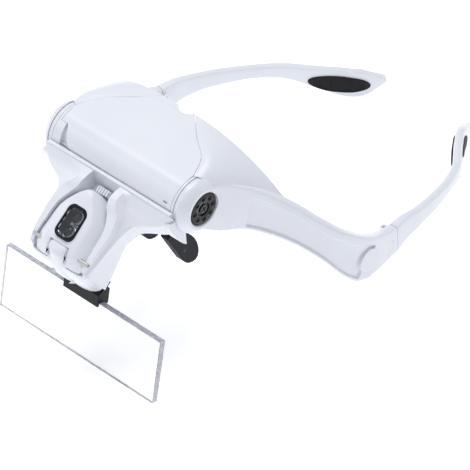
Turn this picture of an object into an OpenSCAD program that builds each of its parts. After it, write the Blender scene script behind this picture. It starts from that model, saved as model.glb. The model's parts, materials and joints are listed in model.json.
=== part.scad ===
// Lighted eyeglass-style head magnifier: a visor frame with folding temples, a battery barrel,
// and a tilting bracket that carries a two-LED lamp and a plug-in rectangular lens.
// It stands on its lens and on the two temple paddles, +Z up, lens towards -Y.

/* [Visor] */
// Radius of the battery barrel about the tilt axis
barrel_r = 12; // [11.6:0.1:12.6]
// Half length of the barrel between its two end slits
barrel_half = 34.6; // [33:0.1:37]
// Height of the visor's crown above the tilt axis
crown_h = 15; // [14:0.5:17]
// Depth from the tilt axis back to the rim at the middle
rim_y = 28; // [26:0.5:31]
// Wall of the moulded shells
wall = 1.8; // [1.5:0.1:2.2]
// Thickness of the visor's top skin
skin_t = 2.2; // [1.8:0.1:2.6]
// Depth from the tilt axis back to the battery tray's rear wall
tray_y = 19; // [18.5:0.5:21]

/* [Side arms of the visor] */
// Half width of the visor over its elbows
elbow_x = 74; // [70:1:80]
// Depth from the tilt axis back to the elbow
elbow_y = 57; // [53:1:61]
// Drop from the tilt axis to the elbow's upper edge
elbow_drop = 31; // [28:1:34]
// Drop from the tilt axis to the elbow's lower edge
elbow_foot = 55.8; // [52:0.2:60]
// Depth from the tilt axis back to the temple seam
seam_y = 82.5; // [78:0.5:88]
// Half width at the temple seam
seam_x = 70.3; // [67:0.5:74]
// Drop from the tilt axis to the middle of the seam
seam_drop = 51.2; // [49:0.2:53]
// Height of the band at the seam
seam_h = 13.8; // [12:0.2:16]
// Thickness of the band at the seam
band_t = 4.6; // [4.4:0.1:5.4]
// Inward turn of the band at the seam, in degrees
seam_yaw = 8; // [6:0.5:10]
// Depth of the recessed side panel
panel_d = 0.9; // [0.5:0.1:1.2]
// Radius of the fixed round boss near the elbow
boss_r = 5.4; // [5:0.1:6]

/* [Tilt joint] */
// Thickness of the bracket's ear disc
ear_t = 1.7; // [1.4:0.1:2.2]
// Gap on each side of an ear disc
ear_gap = 0.3; // [0.2:0.05:0.4]
// Radius of the ear's shaft
shaft_r = 3.5; // [3:0.1:4.2]
// Running clearance of a shaft or pin in its bore
run_gap = 0.06; // [0.03:0.01:0.09]
// Radius of the black tension knob
knob_r = 7.1; // [6.4:0.1:7.6]
// Thickness of the tension knob
knob_t = 2; // [1.6:0.1:2.4]

/* [Lamp bracket] */
// Angle of the bracket's deck below level
deck_tilt = 36; // [34:0.5:38]
// Distance from the tilt axis to the lamp's hinge
lamp_y = 44.3; // [43:0.1:46]
// Height of the lamp's hinge over the tilt axis, square to the deck
lamp_z = 10; // [9.5:0.1:10.5]
// Half width of the lamp at its hinge
lamp_half = 13.4; // [12.6:0.1:14.2]
// Radius of the bracket's arms where they hug the barrel
arm_r = 15.8; // [15.3:0.1:16.6]
// Radius of the lamp's hinge pin
pin_r = 0.8; // [0.6:0.1:1]

/* [Lamp] */
// Width of the lamp's window
window_w = 8.4; // [7.6:0.2:9.2]
// Length of the lamp's window
window_l = 13; // [11:0.5:14]
// Distance from the tilt axis to the window's centre
window_y = 33.4; // [32.6:0.2:34]
// Diameter of an LED
led_d = 5; // [4.6:0.1:5.2]

/* [Lens] */
// Width of the lens
lens_w = 90; // [80:1:100]
// Height of the lens
lens_h = 30; // [26:1:34]
// Thickness of the lens
lens_t = 3; // [2.4:0.1:3.4]
// Lean of the lens from upright
lens_lean = 12; // [10:0.5:14]
// Width of the lens clip
clip_w = 20; // [18:0.5:20.6]
// Depth of the lens clip from front to back
clip_t = 6.4; // [6:0.1:7]

/* [Temples] */
// Depth from the tilt axis back to the temple tip
tip_y = 179.5; // [172:0.5:188]
// Half width between the temple tips
tip_x = 25.5; // [20:0.5:32]
// Height of the temple at its neck
neck_h = 6; // [5:0.2:8]
// Height of the temple paddle
paddle_h = 14.4; // [12:0.2:17]
// Thickness of the temple blade
blade_t = 3.8; // [3.4:0.1:4.6]
// Height of the oval rubber pads
pad_h = 8.6; // [7:0.2:9.4]
// Radius of the fold hinge's pin
fold_pin_r = 0.7; // [0.6:0.05:0.8]

/* [Batteries] */
// Diameter of a cell
cell_d = 10.5; // [10:0.1:10.5]
// Length of a cell with its tip
cell_l = 44.5; // [43:0.1:44.5]

/* [Nose piece] */
// Gap between the two nose pads
nose_gap = 18; // [16:0.5:20]
// Thickness of a nose pad
pad_t = 4.2; // [3.8:0.1:5]

/* [Hidden] */
$fn = 64;

// Colours as photographed
white = [0.93, 0.94, 0.97];
black = [0.08, 0.08, 0.09];
clear = [0.85, 0.9, 0.95, 0.35];
steel = [0.7, 0.7, 0.72];
lamp_yellow = [0.95, 0.9, 0.6];
cell_green = [0.35, 0.5, 0.4];
board_green = [0.1, 0.35, 0.2];

// Gaps between pieces that meet, and the rounding of moulded edges
fit = 0.15;
clear_gap = 0.3;
press = 0.02;
edge_r = 1.2;
reach = 60;

// Blends between two values, a three-point curve and a smooth curve through key rows
function mix(a, b, t) = a + (b - a) * t;
function bez2(p, t) = p[0] * (1 - t) * (1 - t) + p[1] * 2 * t * (1 - t) + p[2] * t * t;
function key(k, i) = k[max(0, min(len(k) - 1, i))];
function hermite(a, b, c, d, t) =
  b + (c - a) * t / 2 + (a * 2 - b * 5 + c * 4 - d) * t * t / 2
  + (b * 3 - a - c * 3 + d) * t * t * t / 2;
function along(k, s) = let (i = max(0, min(len(k) - 2, floor(s))))
  hermite(key(k, i - 1), key(k, i), key(k, i + 1), key(k, i + 2), s - i);

// Triangles over a ring whose outline is hollow: the best free corner is cut off until three points are left
function turn(r, d, a, b, c) = cross(r[b] - r[a], r[c] - r[a]) * d;
function holds(r, d, q, p) = turn(r, d, q[0], q[1], p) > -1e-9 && turn(r, d, q[1], q[2], p) > -1e-9
  && turn(r, d, q[2], q[0], p) > -1e-9;
function corner(s, i) = [s[(i + len(s) - 1) % len(s)], s[i], s[(i + 1) % len(s)]];
function worth(r, d, s, i) = let (q = corner(s, i), t = turn(r, d, q[0], q[1], q[2]))
  t < 1e-6 || len([for (p = s) if (p != q[0] && p != q[1] && p != q[2] && holds(r, d, q, p)) p]) > 0 ? -1
  : t / (norm(r[q[0]] - r[q[1]]) + norm(r[q[1]] - r[q[2]]) + norm(r[q[2]] - r[q[0]])) ^ 2;
function corners(r, d, s) = len(s) < 4 ? [s] :
  let (w = [for (i = [0 : len(s) - 1]) worth(r, d, s, i)], top = max(w),
    i = [for (j = [0 : len(s) - 1]) if (w[j] == top) j][0])
  concat([corner(s, i)], corners(r, d, [for (j = [0 : len(s) - 1]) if (j != i) s[j]]));

// Closed skin over rings that each have the same number of points, whichever way round they run.
// Each end is closed by strips between the points of the first half and their partners in the second,
// or by triangles where its outline is hollow.
function total(v, i = 0) = i == len(v) ? [0, 0, 0] : v[i] + total(v, i + 1);
function area_dir(r) = total([for (j = [0 : len(r) - 1]) cross(r[j] - r[0], r[(j + 1) % len(r)] - r[0])]);
module skin(rings, hollow = false) {
  m = len(rings);
  n = len(rings[0]);
  ahead = area_dir(rings[0]) * (total(rings[1]) - total(rings[0])) > 0;
  rows = [for (r = rings) ahead ? [for (j = [n - 1 : -1 : 0]) r[j]] : r];
  sides = [for (i = [0 : m - 2], j = [0 : n - 1]) let (k = (j + 1) % n)
    each [[i * n + j, i * n + k, (i + 1) * n + k], [i * n + j, (i + 1) * n + k, (i + 1) * n + j]]];
  all = [for (j = [0 : n - 1]) j];
  strips = [for (j = [0 : ceil(n / 2) - 2]) concat([j, j + 1], j + 3 < n - j ? [n - 2 - j] : [], [n - 1 - j])];
  first = hollow ? corners(rows[0], area_dir(rows[0]), all) : strips;
  last = hollow ? corners(rows[m - 1], area_dir(rows[m - 1]), all) : strips;
  polyhedron([for (r = rows) each r], concat(sides, [for (f = first) [for (i = [len(f) - 1 : -1 : 0]) f[i]]],
    [for (f = last) [for (i = f) (m - 1) * n + i]]));
}

module both_sides() {
  children();
  mirror([1, 0, 0]) children();
}
module right_side() mirror([1, 0, 0]) children();

// A section drawn in the upright plane from front to back, carried across from x0 to x1
module across(x0, x1) translate([x0, 0, 0]) rotate([90, 0, 90]) linear_extrude(x1 - x0) children();
module along_x(r, x0, x1) translate([x0, 0, 0]) rotate([0, 90, 0]) cylinder(r = r, h = x1 - x0);
module turned_x() rotate([0, 90, 0]) rotate_extrude() children();
module plate(x, y, z) translate([x[0], y[0], z[0]]) cube([x[1] - x[0], y[1] - y[0], z[1] - z[0]]);

// The tilt axis lies pivot_h over the table, and the part is centred from front to back
function tilted(y, z) = [y * cos(deck_tilt) - z * sin(deck_tilt), y * sin(deck_tilt) + z * cos(deck_tilt)];
chin_y = lamp_y + 8;
seat = tilted(-chin_y - 0.5, -21.8);
pivot_h = -seat[1] + lens_h * cos(lens_lean) + lens_t / 2 * sin(lens_lean);
front_y = tilted(-chin_y + 2.8, lamp_z - 2)[0];
pivot_y = -(tip_y + front_y) / 2;
module at_pivot() translate([0, pivot_y, pivot_h]) children();
module on_deck() at_pivot() rotate([deck_tilt, 0, 0]) children();

// Plan curve where the battery cover meets the flanks, and the cover's section behind the barrel
slit_in = barrel_half + 0.05;
slit_out = slit_in + ear_t + ear_gap + 0.2;
ear_in = slit_in + 0.25;
cover_half = barrel_half - 1.3;
cover_front = 169;
cover_turn = 99;
crease = [[cover_half + 0.2, 2, 12.4], [mix(cover_half, 9, 0.18), mix(2, rim_y, 0.35), crown_h - 1.4],
  [mix(cover_half, 9, 0.58), mix(2, rim_y, 0.63), crown_h - 0.5], [9, rim_y, crown_h]];
function crown_pt(t) = bez2([[barrel_r * cos(cover_turn), barrel_r * sin(cover_turn)],
  [rim_y * 0.65, crown_h], [rim_y, crown_h]], t);
function crown_dir(t) = let (a = crown_pt(t + 0.01), b = crown_pt(t - 0.01)) (a - b) / norm(a - b);
function crown_in(t, d) = crown_pt(t) + d * [crown_dir(t)[1], -crown_dir(t)[0]];
module cover_plan(grow) {
  side = [for (s = [0 : 0.25 : 3]) let (p = along(crease, s)) [p[0] + grow, p[1]]];
  polygon(concat([[-cover_half, -barrel_r - 1], [cover_half, -barrel_r - 1], [cover_half, 2]], side,
    [for (i = [len(side) - 1 : -1 : 0]) [-side[i][0], side[i][1]]], [[-cover_half, 2]]));
}

// Battery tray: round in front, with two troughs for the cells, a rear wall and a shelf under the cover
cell_at = [[-0.5, 2], [11, 4.5]];
cell_room = cell_l / 2 + 3.2;
trough_r = cell_d / 2 + 0.25;
tray_top = 0.25;
function arc(r, a0, a1, n) = [for (i = [0 : n]) let (a = mix(a0, a1, i / n)) r * [cos(a), sin(a)]];
module tray_section() polygon(concat(arc(barrel_r, cover_front + 1, 268, 16),
  [[6, -barrel_r + 1.2], [tray_y, -2.5], [tray_y, 10.2], [tray_y - wall, 10.2],
  [tray_y - wall, cell_at[1][1]], [cell_at[1][0], cell_at[1][1]],
  [cell_at[0][0] + trough_r, cell_at[0][1] + 0.8], [0, tray_top]],
  arc(barrel_r - wall, 180 - asin(tray_top / (barrel_r - wall)), cover_front + 1, 3)));
// Thumb notch in the rim, grown for the shelf under the cover
module rim_notch(grow) translate([4, rim_y + 2.4, 0]) cylinder(r = 5 + grow, h = reach);
module tray() {
  difference() {
    across(-barrel_half, barrel_half) tray_section();
    plate([-cover_half + 3, -cover_half + 9.3], [-barrel_r - 1, -barrel_r + 2.5], [-1, 3]);
    for (c = cell_at) translate([0, c[0], c[1]]) along_x(trough_r, -cell_room, cell_room);
  }
  both_sides() {
    across(cell_room + 0.1, barrel_half) polygon(concat([[tray_y - 0.1, -2], [tray_y - 0.1, 8]],
      arc(barrel_r - wall - fit, 50, cover_front + 1.2, 14), arc(barrel_r - wall + 0.6, cover_front + 1.5, 179, 2),
      [[-9, -2]]));
    across(cover_half + 0.2, barrel_half - 0.01) polygon(concat([[tray_y - 0.2, -2.2], [tray_y - 0.2, 8.5],
      [9, 11.5], [2, 11.9]], arc(barrel_r - 0.02, 90, 181, 14), [[-9, -2.2]]));
  }
  intersection() {
    across(-barrel_half, barrel_half)
      polygon(concat([for (t = [0.56 : 0.14 : 0.98]) crown_in(t, wall + fit)],
        [[rim_y - 0.4, crown_h - wall - 1.8], [tray_y, 10], [tray_y - wall, 10]]));
    difference() {
      linear_extrude(reach) polygon([[-20, tray_y - wall - 0.1], [20, tray_y - wall - 0.1],
        [10.5, rim_y - 0.6], [-10.5, rim_y - 0.6]]);
      rim_notch(0.3);
    }
  }
  // Ring that stays with the barrel beside the finger slot
  across(-barrel_half + 0.02, -cover_half + 3.2)
    polygon(concat([[-2, 9.7]], arc(barrel_r - 0.04, 126, 180.5, 10), [[-2, -1]]));
}

// Round cheek outside each slit; the frame cuts its dish for the tension knob
cheek_x = slit_out + 4.2;
dish_x = slit_out + 1.6;
dish_r = knob_r + 0.5;
module cheek() {
  turned_x() polygon([[0, slit_out], [barrel_r + 0.2, slit_out], [barrel_r, slit_out + 1.1],
    [barrel_r - 1, slit_out + 2.6], [barrel_r - 2.2, slit_out + 3.6], [barrel_r - 2.8, cheek_x],
    [dish_r + 0.4, cheek_x], [dish_r - 0.1, cheek_x - 0.5], [0, cheek_x - 0.5]]);
}

// Key rows of the side arm: half width, depth, upper edge, lower edge, thickness, all on the left
arm_share = [[0, 0, 0, 0, 4], [0.085, 0.14, 0.042, 0.103, 4], [0.19, 0.298, 0.141, 0.16, 4],
  [0.352, 0.439, 0.272, 0.258, 4.2], [0.577, 0.588, 0.469, 0.411, 4.4],
  [0.789, 0.719, 0.679, 0.605, 4.6], [0.944, 0.86, 0.864, 0.856, 4.8], [1, 1, 1, 1, 5]];
tail_share = [[0.19, 0.353, 0.451, 0.583, 4.9], [0.65, 0.706, 0.812, 0.75, 4.6], [1, 1, 1, 1, 0]];
arm_start = [barrel_half + 3.9, 0, 9.5, -barrel_r];
arm_elbow = [elbow_x, elbow_y, -elbow_drop, -elbow_foot];
arm_end = [seam_x, seam_y, -seam_drop + seam_h / 2, -seam_drop - seam_h / 2];
arm_rows = concat(
  [for (r = arm_share) concat([for (i = [0 : 3]) mix(arm_start[i], arm_elbow[i], r[i])], [r[4]])],
  [for (r = tail_share) concat([for (i = [0 : 3]) mix(arm_elbow[i], arm_end[i], r[i])],
    [max(r[4], band_t)])]);
// The same rows with the plan direction added, in degrees from straight back
function turned(rows, first, last) = [for (i = [0 : len(rows) - 1])
  let (a = key(rows, i - 1), b = key(rows, i + 1))
  concat(rows[i], [i == len(rows) - 1 && last != undef ? last
    : i == 0 && first != undef ? first : atan2(b[0] - a[0], b[1] - a[1])])];
arm_keys = turned(arm_rows, undef, -seam_yaw);
// Ring across a band: outer face first, recessed by e between its two borders
function at_band(k, q) = [for (p = q) [k[0] - p[0] * cos(k[5]), k[1] + p[0] * sin(k[5]), p[1]]];
function band_ring(s, e = 0, lean = 0, upper = 4.5, lower = 1.8) =
  let (a = along(arm_keys, s), b = along(arm_keys, s - lean), zt = a[2], zb = b[3],
    c = min(edge_r, (zt - zb) / 4), r = c * 0.3)
  concat(at_band(a, [[c, zt], [r, zt - r], [0, zt - c], [0, zt - upper], [e, zt - upper - e]]),
    at_band(b, [[e, zb + lower + e], [0, zb + lower], [0, zb + c], [r, zb + r], [c, zb], [b[4] - c, zb],
      [b[4] - r, zb + r], [b[4], zb + c]]),
    at_band(a, [[a[4], zt - c], [a[4] - r, zt - r], [a[4] - c, zt]]));
// Rows of the side arm: place along it, lean of the row, 1 inside the recessed panel with its slanted ends
panel_from = 2.5;
panel_lean = 0.3;
panel_to = 8.05;
panel_rake = 1.3;
arm_steps = concat([for (i = [0 : 0.5 : 1.5]) [i, 0, 0]], [[2, panel_lean / 2, 0],
  [panel_from - 0.06, panel_lean, 0], [panel_from, panel_lean, 1], [2.9, panel_lean * 0.7, 1]],
  [for (i = [3.3 : 0.375 : 7.8]) [i, panel_rake * max(0, i - 5.5) / (panel_to - 5.5), 1]],
  [[panel_to - 0.06, panel_rake, 1], [panel_to, panel_rake, 0], [8.5, panel_rake * 0.8, 0],
  [9, panel_rake * 0.5, 0], [9.5, panel_rake * 0.2, 0], [10, 0, 0]]);
module side_arm() skin([for (p = arm_steps) band_ring(p[0], p[2] * panel_d, p[1])]);
// Fixed round boss that stands in the panel at the elbow
module boss() {
  k = along(arm_keys, 7.5);
  translate([k[0], k[1], -seam_drop + 4.4]) rotate([0, 0, -k[5]]) rotate([0, 90, 0])
    translate([0, 0, -k[4] / 2]) cylinder(r = boss_r, h = k[4] / 2 + 0.1);
}

// Flank: patch between the cover's crease, the rim, the side arm's shoulder and the slit's end
function shoulder(v) = let (k = along(arm_keys, mix(0.24, 3.62, v)), d = mix(0.5, k[4] - 0.5, v * v))
  [k[0] - d * cos(k[5]), k[1] + d * sin(k[5]), k[2] - 0.15];
function crease_at(v) = along(crease, v * 3);
function slit_end(u) = mix(crease_at(0), shoulder(0), u) + [0, 0, 3.2 * u * (1 - u)];
function rim_at(u) = mix(crease_at(1), shoulder(1), u)
  + [12 * u * (1 - u), -7 * u * (1 - u), 22 * u * (1 - u)];
function patch(u, v) = mix(crease_at(v), shoulder(v), u) + mix(slit_end(u), rim_at(u), v)
  - mix(mix(crease_at(0), shoulder(0), u), mix(crease_at(1), shoulder(1), u), v);
module flank() {
  n = 8;
  skin([for (i = [0 : 10]) let (v = i / 10) concat(
    [for (j = [0 : n]) patch(j / n, v)],
    [for (j = [n : -1 : 0]) patch(j / n, v) - [0, 0, skin_t]])]);
}
// Web that ties the barrel's end to the side arm behind the slit
module gusset() {
  skin([[[barrel_half - 1, 5, -barrel_r + 2], [barrel_half - 1, tray_y, -3], [barrel_half - 1, tray_y, 9],
      [barrel_half - 1, 5, 9]],
    [[barrel_half + 7.4, 9, -barrel_r + 2], [barrel_half + 7.4, 15, -barrel_r + 2],
      [barrel_half + 7.4, 15, 2.6], [barrel_half + 7.4, 9, 4.6]]]);
}

// Seam of band and temple: +Y runs along the band, -X inwards, origin on the outer face at mid height
module at_seam() at_pivot() translate([seam_x, seam_y, -seam_drop]) rotate([0, 0, seam_yaw]) children();
plug_x = [-3.65, -1.55];
plug_l = 14;
plug_h = 8;
fold_x = -band_t - 2.2;
fold_y = 0.15;
button_x = [-0.95, 0.15];
button_y = [-7, -2.6];
button_h = 6.4;
module button_shape(grow) intersection() {
  translate([(button_x[0] + button_x[1]) / 2, button_y[1] - button_h / 2 + grow, 0]) rotate([0, 90, 0])
    cylinder(r = button_h / 2 + grow, h = button_x[1] - button_x[0] + 6, center = true);
  translate([0, button_y[0] + 20 - grow, 0]) cube([40, 40, 40], center = true);
}
module seam_cuts() {
  plate([plug_x[0] - run_gap, plug_x[1] + run_gap], [-plug_l - 0.1, 1],
    [-plug_h / 2 - run_gap, plug_h / 2 + run_gap]);
  intersection() {
    button_shape(run_gap);
    plate([-1.5, 3], [-12, 0], [-6, 6]);
  }
}

slit_hole_r = 1.3;
module frame() color(white) {
  difference() {
    at_pivot() {
      tray();
      both_sides() {
        cheek();
        flank();
        side_arm();
        boss();
        gusset();
      }
    }
    both_sides() {
      at_pivot() along_x(barrel_r + 0.1, slit_in, slit_out);
      at_pivot() along_x(shaft_r + run_gap, slit_in, dish_x + 1);
      at_pivot() along_x(dish_r, dish_x, slit_out + 10);
      at_pivot() translate([(slit_in + slit_out) / 2, 1.6, 10.4]) cylinder(r = slit_hole_r, h = 6);
      at_seam() seam_cuts();
    }
  }
}

// Cover: barrel arc in front, then a low crown back to the rim, open below, cut for the finger slot
module battery_cover() color(white) at_pivot() difference() {
  intersection() {
    across(-cover_half, cover_half) polygon(concat(
      [for (a = [cover_front : -(cover_front - cover_turn) / 14 : cover_turn + 1])
        barrel_r * [cos(a), sin(a)]],
      [for (t = [0 : 0.0625 : 1]) crown_pt(t)],
      [for (t = [1 : -0.0625 : 0]) crown_in(t, wall)],
      [for (a = [cover_turn + 5 : (cover_front - cover_turn - 5) / 13 : cover_front])
        (barrel_r - wall) * [cos(a), sin(a)]]));
    translate([0, 0, -1]) linear_extrude(reach) cover_plan(-fit);
  }
  translate([0, 1, 0]) rotate([90, 0, 0]) linear_extrude(reach) polygon([[-cover_half - 1, -1],
    [-cover_half + 9.3, -1], [-cover_half + 8.8, 1.5], [-cover_half + 6.6, 5], [-cover_half + 4.8, 8.8],
    [-cover_half + 3.6, 9.85], [-cover_half - 1, 9.85]]);
  rim_notch(0);
  rotate([158, 0, 0]) plate([28.8, 31.2], [barrel_r - 1.1, barrel_r + 1], [-0.5, 0.5]);
}

module batteries() at_pivot() for (i = [0, 1]) let (c = cell_at[i], way = 1 - 2 * i)
  translate([0, c[0], c[1]]) scale([way, 1, 1]) {
    color(cell_green) along_x(cell_d / 2, -cell_l / 2, cell_l / 2 - 0.9);
    color(steel) along_x(1.9, cell_l / 2 - 0.95, cell_l / 2);
  }

// Flat contacts at both ends: the far pair is joined, the near pair is apart
module battery_contacts() color(steel) at_pivot() {
  for (c = cell_at) for (side = [-1, 1]) translate([side * (cell_l / 2 + 0.05), c[0], c[1]])
    scale([side, 1, 1]) {
      along_x(3.4, 0, 0.8);
      along_x(1.2, 0.7, cell_room - cell_l / 2 - 0.06);
    }
}

// Rows of the bracket, square to its deck: distance down the deck, half width at the lip, lip height,
// lower edge, rail's outer edge, rail height, rail's inner edge
deck_rows = [[-10.5, barrel_half + 2, 9.6, -6, 11.5, 10, 7.7], [-12.6, barrel_half + 0.6, 8.6, -4, 11.3, 11.2, 7.7],
  [-15.2, 32.7, 7.7, -0.5, 11.2, 12.2, 7.8], [-17.2, 29.6, 7.4, 0.8, 12, 12.6, 8], [-19, 25.6, 7.2, 1.3, 13, 12.4, 8.4],
  [-20.6, 22.5, 7.3, 1.3, 14.3, 12, 9.1], [-22.6, 20.7, 7.5, 0.8, 15.8, 11.5, 10.5],
  [-28.7, 19.2, 8.1, -3.5, 17, 11.1, 13.4], [-35.8, 18.5, 8.5, -8.5, 16.8, 10.9, 13.9],
  [-42.1, 17.8, 8.6, -13, 16.4, 10.6, 13.8], [-48, 16.7, 8.4, -17, 15.4, 9.4, 13.8]];
draft = 0.22;
lamp_floor = 3.2;
function deck_ring(k) = let (y = k[0], w = k[1], zl = k[2], zb = k[3], xo = k[4], zr = k[5], xi = k[6],
    foot = w - draft * (zl - zb), lip = w - 0.9,
    heel = xo + min(3, 0.3 * (lip - xo)), zh = zl + 0.3 * (zr - zl), zf = lamp_floor - wall,
    open = max(0, min(1, (w - wall - xo - 0.4) / 4)), zt = mix(zf + 1.3, zl - wall, open),
    in = w - draft * (zl - zt) - wall, xr = min(xo - 1.2, in - 0.9), xs = min(xi - 1.2, xr - 0.4),
    ox = [foot, w, lip, mix(lip, heel, 0.5), heel, xo, xi, xi],
    oz = [zb, zl - 0.8, zl, mix(zl, zh, 0.3), zh, zr, zr, lamp_floor],
    ix = [foot - wall, in, in - 0.3, mix(in, xr, 0.4), mix(in, xr, 0.7), xr, xs, xs - 0.2],
    iz = [zb, zt - 0.4, zt, mix(zt + 0.1, mix(zl, zh, 0.3) - wall, open),
      mix(zt + 0.05, zh - wall - 0.2, open), zf + 0.6, zf + 0.3, zf])
  concat([for (i = [0 : 7]) [ox[i], y, oz[i]]], [for (i = [7 : -1 : 0]) [-ox[i], y, oz[i]]],
    [for (i = [0 : 7]) [-ix[i], y, iz[i]]], [for (i = [7 : -1 : 0]) [ix[i], y, iz[i]]]);
module deck_shell() {
  skin([for (s = [0 : 0.5 : len(deck_rows) - 1]) deck_ring(along(deck_rows, s))], hollow = true);
}
// Chin rings: distance down the deck, half width, upper edge, lower edge
chin_rows = [[-chin_y + 4.6, 16.6, 8.2, -17], [-chin_y + 3, 15.6, 7.6, -17.3], [-chin_y + 1.6, 13.6, 5.6, -17],
  [-chin_y + 0.6, 10.8, 1.5, -15.6], [-chin_y, 7, -4, -12.5]];
function chin_ring(k) = let (w = k[1], zt = k[2], zb = k[3], m = (zt + zb) / 2, f = w - draft * (zt - zb))
  [for (p = [[f * 0.75, zb], [f, zb + 2], [(w + f) / 2, m], [w, zt - 2], [w * 0.8, zt], [-w * 0.8, zt],
    [-w, zt - 2], [-(w + f) / 2, m], [-f, zb + 2], [-f * 0.75, zb]]) [p[0], k[0], p[1]]];
module chin() skin([for (s = [0 : 0.5 : 4]) chin_ring(along(chin_rows, s))]);

// Tongue that runs from the lamp's hinge barrel down over the chin
barrel_pin_r = 3;
tail_r = 6.2;
tongue = [[0.2, 2.4], [-2.9, 1.6], [-4.4, -1.6], [-6.2, -6], [-7.7, -11], [-chin_y + lamp_y - 0.4, -15],
  [-chin_y + lamp_y + 1.4, -15], [-5.4, -10], [-3.6, -6], [-1, -3], [0.2, -2.4]];
module hinge_barrel() translate([0, -lamp_y, lamp_z]) {
  along_x(barrel_pin_r, -5, 5);
  across(-5, 5) polygon(tongue);
}
module lamp_room() {
  translate([0, -lamp_y, lamp_z]) both_sides() along_x(tail_r, 5.3, lamp_half + 0.7);
}

// Arms: a saddle and two side sectors round the barrel, ear discs in the slits and their shafts
saddle_from = 135;
arm_from = 150;
arm_to = 199;
knob_x = dish_x + fit;
screw_r = 0.75;
module sector(r_in, r_out, a0, a1) {
  n = 12;
  difference() {
    circle(r = r_out);
    circle(r = r_in);
    polygon(concat([[0, 0]], [for (i = [0 : n]) let (a = mix(a1, a0 + 360, i / n)) 40 * [cos(a), sin(a)]]));
  }
}
module arms() {
  across(-ear_in - 0.1, ear_in + 0.1)
    sector(barrel_r - 1, barrel_r + clear_gap + wall, saddle_from, saddle_from + 45);
  both_sides() {
    across(barrel_half - 3.4, ear_in + ear_t)
      sector(barrel_r - 1, arm_r, arm_from, arm_to);
    across(ear_in, ear_in + ear_t) sector(barrel_r - 2, arm_r - 0.5, arm_from, arm_to);
    along_x(barrel_r - 0.2, ear_in, ear_in + ear_t);
    along_x(shaft_r, ear_in + 0.1, knob_x - 0.1);
  }
}

module bracket() color(white) on_deck() difference() {
  union() {
    deck_shell();
    chin();
    arms();
    hinge_barrel();
  }
  along_x(barrel_r + clear_gap, -slit_in - 0.1, slit_in + 0.1);
  lamp_room();
  translate([0, -lamp_y, lamp_z]) along_x(pin_r - press, -lamp_half - 3, lamp_half + 3);
  both_sides() along_x(screw_r - press, knob_x - 2.6, knob_x);
  clip_socket();
}
// Knob with a raised hub, a ring of dimples and a shaft end, held by a cross-head screw
module knob() color(black) at_pivot() difference() {
  turned_x() polygon([[1.5, knob_x], [knob_r - 0.2, knob_x], [knob_r, knob_x + 0.3],
    [knob_r, knob_x + knob_t - 0.5], [knob_r - 0.6, knob_x + knob_t], [4.4, knob_x + knob_t],
    [4.1, knob_x + knob_t - 0.4], [3.4, knob_x + knob_t - 0.4], [3.2, knob_x + knob_t + 0.1],
    [2.1, knob_x + knob_t + 0.1], [2.1, knob_x + 1], [1.5, knob_x + 1]]);
  for (i = [0 : 4]) rotate([i * 72 + 20, 0, 0])
    translate([knob_x + knob_t + 0.25, 0, 5.5]) sphere(r = 0.75, $fn = 16);
}
module pivot_screws() color(steel) at_pivot() both_sides() difference() {
  union() {
    along_x(1.95, knob_x + 1.02, knob_x + knob_t);
    along_x(screw_r, knob_x - 2.5, knob_x + 1.1);
  }
  for (a = [0, 90]) rotate([a + 20, 0, 0])
    plate([knob_x + knob_t - 0.5, knob_x + knob_t + 1], [-1.4, 1.4], [-0.25, 0.25]);
}

// Lamp pod rows: distance down the deck, half width, edge height, plateau half width, plateau height
pod_rows = [[-17.5, 1.6, 9.6, 0.8, 12.6], [-18.4, 3.6, 9.4, 1.4, 14.6], [-20.6, 7, 9.2, 3, 15.4],
  [-24, 9.9, 9.2, 5.6, 14.8], [-29.1, 12.7, 9.3, 8, 14], [-36, 13.1, 9.4, 8.2, 13.6],
  [-42, lamp_half, 9.4, 7.6, 12.9], [-46.4, 13.3, 8.4, 6.6, 11], [-49.4, 11.6, 6.4, 5.4, 7.8]];
pod_base = 5.2;
function pod_ring(k, in) = let (w = k[1] - in, p = max(0.4, k[3] - in * 0.8), ze = k[2] - in * 0.6,
    zp = k[4] - in, f = pod_base - (in > 0 ? 1 : 0), b = min(f, ze - 1))
  [for (q = [[w, b], [w, ze], [mix(w, p, 0.3), mix(ze, zp, 0.42)], [mix(w, p, 0.75), mix(ze, zp, 0.86)],
      [p, zp], [0, zp + 0.2], [-p, zp], [-mix(w, p, 0.75), mix(ze, zp, 0.86)],
      [-mix(w, p, 0.3), mix(ze, zp, 0.42)], [-w, ze], [-w, b]]) [q[0], k[0], q[1]]];
module pod_skin(in, from, to) skin([for (s = [from : 0.5 : to]) pod_ring(along(pod_rows, s), in)]);
window_top = 14.3;
module window_prism(grow, z0, z1) translate([0, -window_y, z0]) linear_extrude(z1 - z0)
  union() {
    r = 3.2;
    for (a = [-1, 1], b = [-1, 1])
      translate([a * (window_w / 2 - r + grow), b * (window_l / 2 - r + grow)]) circle(r = r);
    square([window_w + 2 * grow, window_l - 2 * r + 2 * grow], center = true);
    square([window_w - 2 * r + 2 * grow, window_l + 2 * grow], center = true);
  }
module lamp_hinge_cut() translate([0, -lamp_y, lamp_z]) {
  along_x(barrel_pin_r + clear_gap, -5.3, 5.3);
  plate([-5.3, 5.3], [-20, 0], [-20, 20]);
  difference() {
    plate([-20, 20], [-20, 0], [-20, 20]);
    along_x(tail_r - clear_gap, -21, 21);
  }
}
module lamp_cover() color(white) on_deck() difference() {
  pod_skin(0, 0, 8);
  pod_skin(1.5, 2, 6.5);
  window_prism(fit + 0.9, pod_base - 2, 30);
  lamp_hinge_cut();
  translate([0, -lamp_y, lamp_z]) along_x(pin_r + run_gap, -20, 20);
}
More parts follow.
